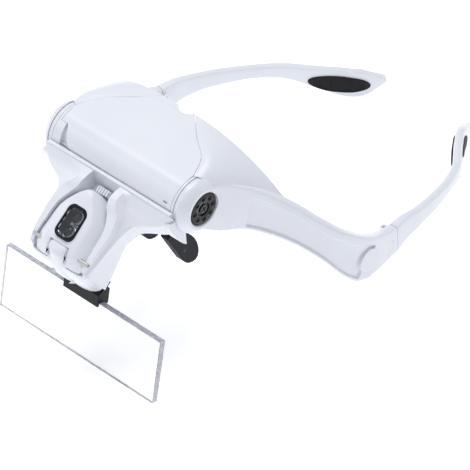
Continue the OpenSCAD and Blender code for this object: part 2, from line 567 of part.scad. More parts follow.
// Bezel: deep black frame of the window
module lamp_bezel() color(black) on_deck() difference() {
  window_prism(0.9, pod_base + 2.4, window_top);
  window_prism(0, pod_base + 1, window_top + 1);
}
module lamp_window() color(clear) on_deck() window_prism(-fit, window_top - 1.3, window_top - 0.3);
module lamp_base() color(white) on_deck() difference() {
  translate([0, 0, pod_base - 1.2]) linear_extrude(1.15)
    polygon(concat([for (s = [1 : 0.5 : 5.5]) let (k = along(pod_rows, s)) [k[1] - 0.4, k[0]]],
      [for (s = [5.5 : -0.5 : 1]) let (k = along(pod_rows, s)) [-k[1] + 0.4, k[0]]]));
  lamp_hinge_cut();
}
led_at = [-window_y - 3.1, -window_y + 3.1];
module circuit_board() color(board_green) on_deck()
  plate([-5.5, 5.5], [-window_y - 6.6, -window_y + 7], [pod_base + 0.05, pod_base + 1.25]);
module leds() color(lamp_yellow) on_deck() for (y = led_at) translate([0, y, pod_base + 1.3]) {
  cylinder(d = led_d + 0.5, h = 0.9);
  cylinder(d = led_d, h = 3.4);
  translate([0, 0, 3.4]) sphere(d = led_d, $fn = 32);
}
module reflector() color(steel) on_deck() difference() {
  window_prism(-fit, pod_base + 2.5, pod_base + 5);
  for (y = led_at) translate([0, y, pod_base + 2]) cylinder(d1 = led_d + 0.6, d2 = led_d + 1.3, h = 4);
}
// Slide switch with a ribbed top, in the trench between the barrel and the lamp
switch_y = [-barrel_r - 4.9, -barrel_r - 2.1];
module lamp_switch() color(white) on_deck() {
  plate([-3.2, 3.2], switch_y, [lamp_floor + 0.05, lamp_floor + 3.6]);
  for (i = [0 : 4]) plate([-3 + i * 1.3, -2.2 + i * 1.3], [switch_y[0], switch_y[1] - 0.2],
    [lamp_floor + 3.5, lamp_floor + 4.6]);
}
module lamp_pins() color(steel) on_deck() translate([0, -lamp_y, lamp_z])
  along_x(pin_r, -lamp_half - 2.2, lamp_half + 2.2);

// Lens clip: a black block over the lens's top edge, with a post that plugs into the chin
post_w = clip_w - 1.4;
post_y = [-chin_y + 2.6, -chin_y + 8.6];
post_top = -10;
module at_lens() at_pivot() translate([0, seat[0], seat[1]]) rotate([-lens_lean, 0, 0]) children();
module clip_socket() {
  plate([-post_w / 2 - fit, post_w / 2 + fit], [post_y[0] - fit, post_y[1] + fit], [-60, post_top + fit]);
}
module lens_clip() color(black) difference() {
  union() {
    at_lens() translate([0, clip_t / 2 - 2.6, 0]) rotate([90, 0, 90]) translate([0, 0, -clip_w / 2])
      linear_extrude(clip_w) polygon([[-clip_t / 2, -1.4], [clip_t / 2, -1.4], [clip_t / 2, 5.6],
        [clip_t / 2 - 0.8, 6.4], [-clip_t / 2 + 2.8, 6.4], [-clip_t / 2 + 0.4, 4.1], [-clip_t / 2, 4.1]]);
    on_deck() plate([-post_w / 2, post_w / 2], post_y, [-20, post_top]);
  }
  at_lens() plate([-clip_w, clip_w], [-lens_t / 2 - 0.02, lens_t / 2 + 0.02], [-5, 0.02]);
}
module lens() color(clear) at_lens()
  plate([-lens_w / 2, lens_w / 2], [-lens_t / 2, lens_t / 2], [-lens_h, 0]);

// Nose piece: a plate under the tray with two legs, each ending in a blade that carries a soft D-shaped pad
nose_pin = [15.2, -47.6];
nose_pin_r = 0.7;
blade_x = [nose_gap / 2 + 1.4, nose_gap / 2 + pad_t - 1.4];
blade_w = 1.3;
pad_lean = 27;
// Underside of the tray behind its round front
function under(y) = mix(-barrel_r + 1.2, -2.5, (y - 6) / (tray_y - 6)) - 0.05;
module joint_ball(p) translate(p) sphere(r = 1.8, $fn = 20);
module leg() {
  knee = [(blade_x[0] + blade_x[1]) / 2, 12, -26];
  hull() {
    joint_ball([knee[0] - 5, 9.5, under(9.5) - 2.4]);
    joint_ball(knee);
  }
  hull() {
    joint_ball(knee);
    plate(blade_x, [nose_pin[0] - blade_w, nose_pin[0] + blade_w], [-36, -34]);
  }
  plate(blade_x, [nose_pin[0] - blade_w, nose_pin[0] + blade_w], [nose_pin[1], -35]);
  translate([0, nose_pin[0], nose_pin[1]]) along_x(blade_w + 0.3, blade_x[0], blade_x[1]);
}
module nose_bridge() color(black) at_pivot() difference() {
  union() {
    both_sides() leg();
    across(-9, 9) polygon([[6.1, under(6.1)], [13, under(13)], [13.6, under(13) - 1.6], [6.7, under(6.1) - 2]]);
  }
  both_sides() translate([0, nose_pin[0], nose_pin[1]]) along_x(nose_pin_r - press, 0, 40);
}
// Outline of a pad from its pin: along its straight front edge, and square to it
pad_edge = [[-15.4, -2.6], [-14.8, -3.2], [3.9, -3.2], [6.1, -2.7], [7.9, -1.8], [9.4, -0.2], [10.2, 1.5],
  [9.9, 3.1], [8.2, 4.7], [6.1, 5.75], [2.6, 6.6], [-0.4, 6.75], [-3.4, 6.4], [-6.2, 5.5], [-8.6, 4.2],
  [-11.4, 2.25], [-13.8, 0], [-15.1, -1.6]];
module nose_pad() color(black) at_pivot() translate([0, nose_pin[0], nose_pin[1]]) difference() {
  across(nose_gap / 2, nose_gap / 2 + pad_t) rotate(pad_lean - 90) polygon(pad_edge);
  translate([blade_x[0] - fit, 0, 0]) {
    plate([0, blade_x[1] - blade_x[0] + 2 * fit], [-2 * blade_w, 2 * blade_w], [0, 20]);
    along_x(blade_w + 0.6, 0, blade_x[1] - blade_x[0] + 2 * fit);
  }
  along_x(nose_pin_r + run_gap, nose_gap / 2 + 0.4, nose_gap);
}
module nose_pins() color(steel) at_pivot() both_sides()
  translate([0, nose_pin[0], nose_pin[1]]) along_x(nose_pin_r, nose_gap / 2 + 0.5, nose_gap / 2 + pad_t - 0.1);

// Fold hinge: a block plugged into the band carries the middle knuckle, the temple the other two
knuckle_r = 1.9;
knuckle_h = 2;
leaf_end = 4;
module hinge_block() color(white) at_seam() difference() {
  union() {
    plate(plug_x, [-plug_l, 0.2], [-plug_h / 2, plug_h / 2]);
    plate([fold_x, plug_x[1] - 0.35], [0.1, fold_y + 1.75], [-knuckle_h, knuckle_h]);
    translate([fold_x, fold_y, -knuckle_h]) cylinder(r = knuckle_r, h = 2 * knuckle_h);
  }
  translate([fold_x, fold_y, -10]) cylinder(r = fold_pin_r - press, h = 20);
  translate([0, -20, 0]) plate([plug_x[0] - 3, plug_x[0] - 0.01], [0, 40], [knuckle_h + 0.1, 10]);
}
module hinge_pin() color(steel) at_seam() translate([fold_x, fold_y, -leaf_end]) cylinder(r = fold_pin_r, h = 2 * leaf_end);
module release_button() color(white) at_seam() intersection() {
  button_shape(0);
  plate(button_x, [-12, 0], [-6, 6]);
}

// Temple rows: share of the way in and back, share of the seam's height for the lower edge, height
drop = pivot_h - seam_drop - seam_h / 2;
temple_share = [[0, 0, 1, seam_h], [0.025, 0.08, 1.097, mix(neck_h, seam_h, 0.73)],
  [0.045, 0.152, 1.107, mix(neck_h, seam_h, 0.5)], [0.085, 0.24, 1.094, mix(neck_h, seam_h, 0.28)],
  [0.125, 0.312, 1.042, mix(neck_h, seam_h, 0.22)], [0.237, 0.465, 0.93, neck_h + 0.2],
  [0.373, 0.597, 0.754, mix(neck_h, paddle_h, 0.1)], [0.489, 0.669, 0.58, mix(neck_h, paddle_h, 0.3)],
  [0.647, 0.756, 0.295, mix(neck_h, paddle_h, 0.7)], [0.752, 0.819, 0.092, paddle_h],
  [0.824, 0.862, 0.02, paddle_h], [0.873, 0.9, 0, paddle_h - 0.8], [0.924, 0.938, 0.065, paddle_h * 0.69],
  [0.978, 0.984, 0.206, paddle_h * 0.31], [1, 1, 0.268, paddle_h * 0.14]];
function seam_pt(d) = [seam_x - d * sin(seam_yaw), seam_y + d * cos(seam_yaw)];
temple_rows = [for (i = [0 : len(temple_share) - 1]) let (r = temple_share[i], a = seam_pt(clear_gap),
    low = -pivot_h + drop * r[2]) [mix(a[0], tip_x, r[0]), mix(a[1], tip_y, r[1]), low + r[3], low,
    i == 0 ? band_t : i == 1 ? mix(band_t, blade_t, 0.6) : blade_t]];
temple_keys = turned(temple_rows, -seam_yaw, undef);
function blade_ring(k) = let (c = min(edge_r, (k[2] - k[3]) / 3.2), r = c * 0.3, zt = k[2], zb = k[3], th = k[4])
  [for (q = [[c, zt], [r, zt - r], [0, zt - c], [0, zb + c], [r, zb + r], [c, zb], [th - c, zb],
      [th - r, zb + r], [th, zb + c], [th, zt - c], [th - r, zt - r], [th - c, zt]])
    [k[0] - q[0] * cos(k[5]), k[1] + q[0] * sin(k[5]), q[1]]];
module temple() color(white) difference() {
  union() {
    at_pivot() skin([for (s = [0 : 0.5 : len(temple_keys) - 1]) blade_ring(along(temple_keys, s))]);
    at_seam() for (z = [[knuckle_h + 0.1, leaf_end], [-leaf_end, -knuckle_h - 0.1]]) {
      translate([fold_x, fold_y, z[0]]) cylinder(r = knuckle_r, h = z[1] - z[0]);
      plate([fold_x, -band_t + 1.4], [fold_y + 0.35, fold_y + knuckle_r], z);
    }
  }
  at_seam() plate([-20, -1.3], [-1, fold_y + 2.15], [-knuckle_h - 0.1, knuckle_h + 0.1]);
  at_seam() translate([fold_x, fold_y, -10]) cylinder(r = fold_pin_r + run_gap, h = 20);
}

// Oval ribbed pads on the two faces of a paddle: side 0 is the outer face, side 1 the inner
pad_span = [7.42, 11.9];
function pad_ring(s, side, h, t) = let (k = along(temple_keys, s), m = (k[2] + k[3]) / 2,
    d0 = side * (k[4] + 0.04) - (1 - side) * 0.04, d1 = d0 + (side * 2 - 1) * t, dm = mix(d0, d1, 0.6))
  [for (q = [[d0, h], [dm, h], [d1, h * 0.8], [d1, -h * 0.8], [dm, -h], [d0, -h]])
    [k[0] - q[0] * cos(k[5]), k[1] + q[0] * sin(k[5]), m + q[1]]];
module pad(side, span, h, t) color(black) at_pivot() {
  n = 14;
  rings = [for (i = [0 : n]) let (u = -1 + 2 * i / n, s = mix(span[0], span[1], i / n))
    pad_ring(s, side, h / 2 * max(0.12, sqrt(1 - u * u)), t * (0.55 + 0.45 * sqrt(1 - u * u)))];
  if (side == 1) skin(rings);
  else skin([for (i = [n : -1 : 0]) rings[i]]);
}
module temple_pad() pad(1, pad_span, pad_h, 1.1);
module temple_grip() pad(0, [8.3, 11.6], pad_h - 1, 0.5);

frame();
battery_cover();
batteries();
battery_contacts();
bracket();
knob();  // left_knob
right_side() knob();  // right_knob
pivot_screws();
lamp_base();
lamp_cover();
lamp_bezel();
lamp_window();
leds();
reflector();
circuit_board();
lamp_switch();
lamp_pins();
lens_clip();
lens();
nose_bridge();
nose_pad();  // left_nose_pad
right_side() nose_pad();  // right_nose_pad
nose_pins();
hinge_block();  // left_hinge_block
right_side() hinge_block();  // right_hinge_block
hinge_pin();  // left_hinge_pin
right_side() hinge_pin();  // right_hinge_pin
release_button();  // left_release_button
right_side() release_button();  // right_release_button
temple();  // left_temple
right_side() temple();  // right_temple
temple_pad();  // left_temple_pad
right_side() temple_pad();  // right_temple_pad
temple_grip();  // left_temple_grip
right_side() temple_grip();  // right_temple_grip
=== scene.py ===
# %% [markdown]
# # A lighted headband magnifier, dressed for its photograph
# The object is a pair of white plastic spectacles for close work. A round barrel over the nose holds
# two cells, a bracket in front of it tilts and carries a lamp and a clear lens, and two long temples
# end in broad paddles with black rubber ovals.
# The solids are already exact, so this file gives them what a solid can't have: edges that catch the
# light, the finish of each plastic, soft pads, a studio and a camera where the photographer stood.

import json
import math

import bmesh
import bpy
from mathutils import Matrix, Vector
from mathutils.bvhtree import BVHTree


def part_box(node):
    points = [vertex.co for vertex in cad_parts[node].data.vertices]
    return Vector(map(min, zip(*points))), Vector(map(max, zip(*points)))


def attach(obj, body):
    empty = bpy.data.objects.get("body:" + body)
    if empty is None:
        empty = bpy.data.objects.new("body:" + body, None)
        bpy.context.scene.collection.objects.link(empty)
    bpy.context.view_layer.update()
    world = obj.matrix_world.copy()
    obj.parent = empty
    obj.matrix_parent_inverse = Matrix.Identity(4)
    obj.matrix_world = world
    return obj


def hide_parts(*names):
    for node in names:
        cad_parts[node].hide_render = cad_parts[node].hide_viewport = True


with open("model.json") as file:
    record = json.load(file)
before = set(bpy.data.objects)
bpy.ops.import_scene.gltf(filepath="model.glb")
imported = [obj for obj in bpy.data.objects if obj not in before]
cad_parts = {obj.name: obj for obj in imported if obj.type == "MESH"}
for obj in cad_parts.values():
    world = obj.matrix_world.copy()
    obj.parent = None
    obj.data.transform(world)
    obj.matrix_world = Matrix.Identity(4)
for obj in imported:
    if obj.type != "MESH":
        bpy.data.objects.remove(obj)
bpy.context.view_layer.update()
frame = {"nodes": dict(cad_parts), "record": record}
nodes = frame["nodes"]
record = frame["record"]
MM = 0.001

# %% [markdown]
# Every piece has to know which body carries it and which finish the record gives it. The record holds
# both as lists, so two small dictionaries turn them round once, and nothing is written twice.

# %% Which body and which finish each piece has
body_of = {n: body for body, members in record["behaviour"]["bodies"].items() for n in members}
slot_of = {row["node"]: row["material_slot"] for row in record["subparts"]}
print("bodies:", len(set(body_of.values())), "finishes:", sorted(set(slot_of.values())))

# %% [markdown]
# ## Materials
# A shader mixes light in linear numbers, while a colour is picked as a hex value on a screen.
# One function turns the second into the first, and one more adds a node with its settings and links,
# so that each material below reads as a short recipe.

# %% Helpers for materials


def paint(code):
    """sRGB hex as linear RGBA."""
    parts = [int(code[i : i + 2], 16) / 255 for i in (1, 3, 5)]
    return [v / 12.92 if v <= 0.04045 else ((v + 0.055) / 1.055) ** 2.4 for v in parts] + [1]


def put(tree, kind, links=None, fixed=None, **settings):
    """Adds a node, sets its properties and inputs, and links its inputs to other nodes' outputs."""
    node = tree.nodes.new(kind)
    for name, value in (fixed or {}).items():
        node.inputs[name].default_value = value
    for name, value in settings.items():
        if hasattr(node, name):
            setattr(node, name, value)
        else:
            node.inputs[name.replace("_", " ")].default_value = value
    for name, source in (links or {}).items():
        tree.links.new(source, node.inputs[name])
    return node


def new_material(name):
    """An empty material and the piece's own coordinates; close adds its output node."""
    made = bpy.data.materials.new(name)
    made.use_nodes = True
    made.node_tree.nodes.clear()
    return made, made.node_tree, put(made.node_tree, "ShaderNodeTexCoord").outputs["Object"]


def close(tree, shader):
    """Ends the tree in the material output."""
    put(tree, "ShaderNodeOutputMaterial", {"Surface": shader.outputs[0]})


# %% [markdown]
# **White ABS, injection moulded in a polished tool.** It is glossy but not a mirror: the skin has a very
# slight unevenness from the flow of the plastic, about 6 mm from wave to wave, and handling leaves the
# gloss a little patchy. The photograph shows it faintly blue. A noise in real millimetres drives the
# roughness and a very small bump, so that highlights are broken up as they are on the real shells.

# %% Gloss white ABS
abs_white, tree, here = new_material("gloss_white_abs")
flow = put(tree, "ShaderNodeTexNoise", {"Vector": here}, Scale=1 / (6 * MM), Detail=2.0)
hands = put(tree, "ShaderNodeTexNoise", {"Vector": here}, Scale=1 / (28 * MM), Detail=3.0)
tint = put(tree, "ShaderNodeValToRGB", {"Fac": hands.outputs["Fac"]})
tint.color_ramp.elements[0].color = paint("#E7EAF1")
tint.color_ramp.elements[1].color = paint("#EFF1F6")
gloss = put(tree, "ShaderNodeMapRange", {"Value": hands.outputs["Fac"]}, To_Min=0.2, To_Max=0.31)
swell = put(tree, "ShaderNodeBump", {"Height": flow.outputs["Fac"]}, Strength=0.12, Distance=0.02 * MM)
close(tree, put(tree, "ShaderNodeBsdfPrincipled", {"Base Color": tint.outputs["Color"],
    "Roughness": gloss.outputs["Result"], "Normal": swell.outputs["Normal"]}, IOR=1.54))
print("made", abs_white.name)

# %% [markdown]
# **Black ABS, spark-eroded tool.** The lens clip is satin: the tool's fine pits scatter the light. Real
# grit is near 0.1 mm, too fine for this picture, so it is drawn at 0.5 mm. The pits also trap part of the
# surface reflection, so the specular level is half of a smooth plastic's.

# %% Satin black ABS
abs_satin, tree, here = new_material("satin_black_abs")
grit = put(tree, "ShaderNodeTexNoise", {"Vector": here}, Scale=1 / (0.5 * MM), Detail=2.0)
wear = put(tree, "ShaderNodeTexNoise", {"Vector": here}, Scale=1 / (9 * MM), Detail=3.0)
shade = put(tree, "ShaderNodeValToRGB", {"Fac": wear.outputs["Fac"]})
shade.color_ramp.elements[0].color = paint("#0D0E11")
shade.color_ramp.elements[1].color = paint("#191A1F")
pits = put(tree, "ShaderNodeBump", {"Height": grit.outputs["Fac"]}, Strength=0.35, Distance=0.03 * MM)
close(tree, put(tree, "ShaderNodeBsdfPrincipled", {"Base Color": shade.outputs["Color"],
    "Normal": pits.outputs["Normal"]}, Roughness=0.42, IOR=1.54, Specular_IOR_Level=0.25))
print("made", abs_satin.name)

# %% [markdown]
# **Black ABS from a polished tool.** Knobs and the lamp's bezel mirror the studio in small sharp
# highlights. The roughness changes over the surface, from fingers, and the black changes a little with it.
# The specular level is lowered, as on the satin black, because the photograph's blacks are deep.

# %% Gloss black ABS
abs_gloss, tree, here = new_material("gloss_black_abs")
smudge = put(tree, "ShaderNodeTexNoise", {"Vector": here}, Scale=1 / (4 * MM), Detail=3.0)
film = put(tree, "ShaderNodeMapRange", {"Value": smudge.outputs["Fac"]}, To_Min=0.1, To_Max=0.24)
deep = put(tree, "ShaderNodeValToRGB", {"Fac": smudge.outputs["Fac"]})
deep.color_ramp.elements[0].color = paint("#07080A")
deep.color_ramp.elements[1].color = paint("#101115")
close(tree, put(tree, "ShaderNodeBsdfPrincipled", {"Base Color": deep.outputs["Color"],
    "Roughness": film.outputs["Result"]}, IOR=1.54, Specular_IOR_Level=0.3))
print("made", abs_gloss.name)

# %% [markdown]
# **Black silicone rubber.** The nose pads and the ovals on the paddles are charcoal and matte, with a very
# faint dry bloom at grazing angles. Sheen gives it, and a 0.6 mm grain stands for the moulded skin.

# %% Black silicone rubber
rubber, tree, here = new_material("black_silicone_rubber")
grain = put(tree, "ShaderNodeTexNoise", {"Vector": here}, Scale=1 / (0.6 * MM), Detail=3.0)
dust = put(tree, "ShaderNodeTexNoise", {"Vector": here}, Scale=1 / (5 * MM), Detail=2.0)
coal = put(tree, "ShaderNodeValToRGB", {"Fac": dust.outputs["Fac"]})
coal.color_ramp.elements[0].color = paint("#17171B")
coal.color_ramp.elements[1].color = paint("#232328")
skin = put(tree, "ShaderNodeBump", {"Height": grain.outputs["Fac"]}, Strength=0.4, Distance=0.04 * MM)
close(tree, put(tree, "ShaderNodeBsdfPrincipled", {"Base Color": coal.outputs["Color"],
    "Normal": skin.outputs["Normal"]}, Roughness=0.62, IOR=1.43, Specular_IOR_Level=0.3,
    Sheen_Weight=0.03, Sheen_Roughness=0.4))
print("made", rubber.name)

# %% [markdown]
# **Cast acrylic.** The lens is clear with polished faces. What shows of it is its edge, where the light
# that entered the face comes out. That needs real refraction, so the shader is full transmission at
# acrylic's index, with a breath of haze that varies over the face.

# %% Clear acrylic
acrylic, tree, here = new_material("clear_cast_acrylic")
haze = put(tree, "ShaderNodeTexNoise", {"Vector": here}, Scale=1 / (14 * MM), Detail=2.0)
breath = put(tree, "ShaderNodeMapRange", {"Value": haze.outputs["Fac"]}, To_Min=0.0, To_Max=0.03)
close(tree, put(tree, "ShaderNodeBsdfPrincipled", {"Roughness": breath.outputs["Result"]},
    Base_Color=paint("#FFFFFF"), Transmission_Weight=1.0, IOR=1.49))
print("made", acrylic.name)

# %% [markdown]
# **The lens's sawn and flame-polished edge.** Light that has bounced inside the sheet leaves here, so the
# edge looks milky beside the clear face: part of it scatters as a pale body, part still transmits. Faint
# streaks 1.5 mm apart run across it, left by the saw.

# %% Polished acrylic edge
acrylic_edge, tree, here = new_material("polished_acrylic_edge")
saw = put(tree, "ShaderNodeTexNoise", {"Vector": here}, Scale=1 / (1.5 * MM), Detail=2.0)
pale = put(tree, "ShaderNodeValToRGB", {"Fac": saw.outputs["Fac"]})
pale.color_ramp.elements[0].position = 0.35
pale.color_ramp.elements[0].color = paint("#C6CAD6")
pale.color_ramp.elements[1].position = 0.62
pale.color_ramp.elements[1].color = paint("#F2F3F8")
close(tree, put(tree, "ShaderNodeBsdfPrincipled", {"Base Color": pale.outputs["Color"]},
    Roughness=0.16, Transmission_Weight=0.35, IOR=1.49))
print("made", acrylic_edge.name)

# %% [markdown]
# **Clear polycarbonate** for the lamp's little window: the same recipe, only a breath smokier, because
# one looks through it into a dark bezel.

# %% Lamp window polycarbonate
lamp_clear, tree, here = new_material("clear_polycarbonate")
flecks = put(tree, "ShaderNodeTexNoise", {"Vector": here}, Scale=1 / (2 * MM), Detail=2.0)
veil = put(tree, "ShaderNodeMapRange", {"Value": flecks.outputs["Fac"]}, To_Min=0.01, To_Max=0.06)
close(tree, put(tree, "ShaderNodeBsdfPrincipled", {"Roughness": veil.outputs["Result"]},
    Base_Color=paint("#E4E7EC"), Transmission_Weight=1.0, IOR=1.58))
print("made", lamp_clear.name)

# %% [markdown]
# **Metals.** Contacts and hinge pins are nickel-plated steel, drawn wire with faint lengthwise lines.
# The pivot screws and the nose pads' pins are blackened: a dark oxide over the same steel. The
# reflector is plastic with a vacuum-deposited chrome skin, nearly a mirror.

# %% Nickel steel and chrome
steel, tree, here = new_material("nickel_plated_steel")
stretch = put(tree, "ShaderNodeMapping", {"Vector": here}, Scale=(80, 1800, 1800))
lines = put(tree, "ShaderNodeTexNoise", {"Vector": stretch.outputs["Vector"]}, Scale=1.0, Detail=2.0)
drawn = put(tree, "ShaderNodeMapRange", {"Value": lines.outputs["Fac"]}, To_Min=0.2, To_Max=0.38)
close(tree, put(tree, "ShaderNodeBsdfPrincipled", {"Roughness": drawn.outputs["Result"]},
    Base_Color=paint("#C9C8C4"), Metallic=1.0))
oxide, tree, here = new_material("black_oxide_steel")
rub = put(tree, "ShaderNodeTexNoise", {"Vector": here}, Scale=1 / (1.2 * MM), Detail=3.0)
worn = put(tree, "ShaderNodeValToRGB", {"Fac": rub.outputs["Fac"]})
worn.color_ramp.elements[0].color = paint("#34353A")
worn.color_ramp.elements[1].color = paint("#5A5B61")
close(tree, put(tree, "ShaderNodeBsdfPrincipled", {"Base Color": worn.outputs["Color"]},
    Metallic=1.0, Roughness=0.28))
chrome, tree, here = new_material("vacuum_chrome")
peel = put(tree, "ShaderNodeTexNoise", {"Vector": here}, Scale=1 / (1.5 * MM), Detail=1.0)
wavy = put(tree, "ShaderNodeBump", {"Height": peel.outputs["Fac"]}, Strength=0.15, Distance=0.03 * MM)
close(tree, put(tree, "ShaderNodeBsdfPrincipled", {"Normal": wavy.outputs["Normal"]},
    Base_Color=paint("#E8EAED"), Metallic=1.0, Roughness=0.08))
print("made", steel.name, oxide.name, chrome.name)

# %% [markdown]
# **What lies inside.** The LEDs are cast in water-clear epoxy with a few stress clouds, so that unlit
# they show their dark cup. The cells have a film jacket with a soft mottle, and the circuit board is
# glass-fibre laminate under green lacquer with a 0.8 mm weave.

# %% Epoxy, cell jacket and circuit board
epoxy, tree, here = new_material("led_epoxy")
cloud = put(tree, "ShaderNodeTexNoise", {"Vector": here}, Scale=1 / (1.2 * MM), Detail=2.0)
stress = put(tree, "ShaderNodeMapRange", {"Value": cloud.outputs["Fac"]}, To_Min=0.02, To_Max=0.12)
close(tree, put(tree, "ShaderNodeBsdfPrincipled", {"Roughness": stress.outputs["Result"]},
    Base_Color=paint("#E8EAEE"), IOR=1.5, Transmission_Weight=1.0))
jacket, tree, here = new_material("cell_jacket_film")
mottle = put(tree, "ShaderNodeTexNoise", {"Vector": here}, Scale=1 / (3 * MM), Detail=3.0)
film = put(tree, "ShaderNodeValToRGB", {"Fac": mottle.outputs["Fac"]})
film.color_ramp.elements[0].color = paint("#4A6B57")
film.color_ramp.elements[1].color = paint("#5F8069")
close(tree, put(tree, "ShaderNodeBsdfPrincipled", {"Base Color": film.outputs["Color"]},
    Roughness=0.3, IOR=1.5))
board, tree, here = new_material("lacquered_fibre_board")
weave = put(tree, "ShaderNodeTexWave", {"Vector": here}, Scale=1 / (0.8 * MM) / 6.28, Distortion=1.0)
green = put(tree, "ShaderNodeValToRGB", {"Fac": weave.outputs["Fac"]})
green.color_ramp.elements[0].color = paint("#14532D")
green.color_ramp.elements[1].color = paint("#1C6B3B")
close(tree, put(tree, "ShaderNodeBsdfPrincipled", {"Base Color": green.outputs["Color"]},
    Roughness=0.35, IOR=1.5))
print("made", epoxy.name, jacket.name, board.name)

# %% Finish of each slot
finish = {"white_plastic": abs_white, "black_plastic": abs_satin, "black_gloss": abs_gloss,
    "black_rubber": rubber, "clear_lens": acrylic, "lamp_clear": lamp_clear, "steel": steel,
    "mirror_plate": chrome, "led_body": epoxy, "cell_jacket": jacket, "board": board}
oxide_pieces = ("pivot_screws", "nose_pins")
for name, thing in nodes.items():
    thing.data.materials.clear()
    thing.data.materials.append(oxide if name in oxide_pieces else finish[slot_of[name]])
print("finished", len(nodes), "pieces")

# %% [markdown]
# ## Shells with moulded edges
# A moulded edge is never a knife: a radius of a few tenths of a millimetre catches a thin line of light,
# and without it a white object on white looks like paper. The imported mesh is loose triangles, so a copy
# is merged, its crisp edges are marked by their angle, and a Bevel rounds them. Weighted Normal then
# lets the long flat facets of the lofted bands shade as one surface.

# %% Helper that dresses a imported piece


def dress(name, edge, sharp=34, segments=2):
    """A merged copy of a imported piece, with rounded edges, that stands in for it."""
    mesh = nodes[name].data.copy()
    mesh.name = name + "_shell"
    form = bmesh.new()
    form.from_mesh(mesh)
    bmesh.ops.remove_doubles(form, verts=form.verts, dist=0.002 * MM)
    bmesh.ops.dissolve_degenerate(form, edges=form.edges, dist=0.002 * MM)
    bmesh.ops.dissolve_limit(form, angle_limit=math.radians(0.5), verts=form.verts, edges=form.edges)
    for face in form.faces:
        face.smooth = True
    for line in form.edges:
        line.smooth = len(line.link_faces) == 2 and line.calc_face_angle() < math.radians(sharp)
    form.to_mesh(mesh)
    form.free()
    for layer in list(mesh.attributes):
        if layer.name == "custom_normal":
            mesh.attributes.remove(layer)
    piece = bpy.data.objects.new(name + "_shell", mesh)
    bpy.context.scene.collection.objects.link(piece)
    if edge:
        round_off = piece.modifiers.new("moulded edge", "BEVEL")
        round_off.width = edge * MM
        round_off.segments = segments
        round_off.limit_method = "ANGLE"
        round_off.angle_limit = math.radians(sharp)
        round_off.use_clamp_overlap = True
        round_off.harden_normals = False
    even = piece.modifiers.new("even shading", "WEIGHTED_NORMAL")
    even.keep_sharp = True
    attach(piece, body_of[name])
    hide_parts(name)
    return piece


# %% White shells, black clip and nose pads
shells = {"frame": 0.15, "battery_cover": 0.25, "bracket": 0.15, "lamp_cover": 0.2, "left_temple": 0.1,
    "right_temple": 0.1, "lens_clip": 0.3, "lamp_bezel": 0.15, "lamp_switch": 0.12,
    "nose_bridge": 0.15, "left_release_button": 0.12, "right_release_button": 0.12,
    "left_hinge_block": 0.12, "right_hinge_block": 0.12}
for name, edge in shells.items():
    piece = dress(name, edge)
    print(piece.name, len(piece.data.polygons), "faces")
for name in ("left_nose_pad", "right_nose_pad"):
    piece = dress(name, 0.9, sharp=45, segments=4)
    print(piece.name, "soft edge 0.9 mm")

# %% [markdown]
# ## The bracket's soft forms
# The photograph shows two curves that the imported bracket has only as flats. Its side walls hang lower
# under the ends of the barrel, in a soft belly, and the tongue over the lamp's hinge is a rounded ridge.
# So the wall's lower edge is let down along a smooth bump, and the tongue's long corners are bevelled by
# 2 mm. The wall that hugs the barrel stays where it is, so that the bracket can still tilt. Both forms
# work in the deck's own directions, which lean 36 degrees with it.

# %% Belly and tongue of the bracket


def eased(t):
    """0 below 0, 1 above 1 and a smooth rise between."""
    t = min(1, max(0, t))
    return t * t * (3 - 2 * t)


axle = Vector(record["behaviour"]["joints"][0]["pos_m"])
lean = math.radians(36)
down_deck = Vector((0, -math.cos(lean), -math.sin(lean)))
off_deck = Vector((0, -math.sin(lean), math.cos(lean)))
tongue_half = 5 * MM
tongue_start = 41 * MM
tongue_foot = -4 * MM
crisp = math.radians(50)
belly_inner = 12 * MM
belly_drop = 4.6
barrel_wall = 12.8
shell = bpy.data.objects["bracket_shell"].data
form = bmesh.new()
form.from_mesh(shell)
corners = [line for line in form.edges if line.calc_face_angle(0) > crisp
    and all(abs(abs(v.co.x) - tongue_half) < 0.02 * MM for v in line.verts)
    and all((v.co - axle).dot(down_deck) > tongue_start for v in line.verts)
    and all((v.co - axle).dot(off_deck) > tongue_foot for v in line.verts)]
print("tongue corners:", len(corners))
bmesh.ops.bevel(form, geom=corners, offset=2 * MM, segments=4, profile=0.5, affect="EDGES",
    clamp_overlap=False)
for v in form.verts:
    reach = (v.co - axle).dot(down_deck) / MM
    height = (v.co - axle).dot(off_deck) / MM
    bump = eased((reach - 7.5) / 4.5) * eased((30 - reach) / 9)
    low_edge = eased((7 - height) / 6)
    off_barrel = eased(((v.co - axle).yz.length / MM - barrel_wall) / 1.5)
    if abs(v.co.x) > belly_inner:
        v.co -= off_deck * belly_drop * MM * bump * low_edge * off_barrel
for face in form.faces:
    face.smooth = True
form.to_mesh(shell)
form.free()

# %% [markdown]
# ## The lens
# It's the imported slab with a 0.25 mm arris all round. Its broad faces keep the clear acrylic and its
# narrow sides get the milky edge, told apart by how far a face looks along the slab's thickness. A clear
# sheet throws almost no shadow, while a renderer shades the table as behind a board, so its shadow is off.

# %% Lens with clear faces and pale edges
lens_piece = dress("lens", 0.25)
slab = lens_piece.data
broad = max(slab.polygons, key=lambda face: face.area).normal.copy()
slab.materials.append(acrylic_edge)
for face in slab.polygons:
    face.material_index = 0 if abs(face.normal.dot(broad)) > 0.7 else 1
lens_piece.visible_shadow = False
print("lens:", sum(face.material_index for face in slab.polygons), "edge faces")

# %% [markdown]
# ## Repeats
# Dimples, ribs and springs are the same small form many times over, so a node tree makes each row from
# its count and sizes. One helper opens a tree with named inputs, another runs it once and keeps the
# plain mesh that comes out.

# %% Helpers for node trees


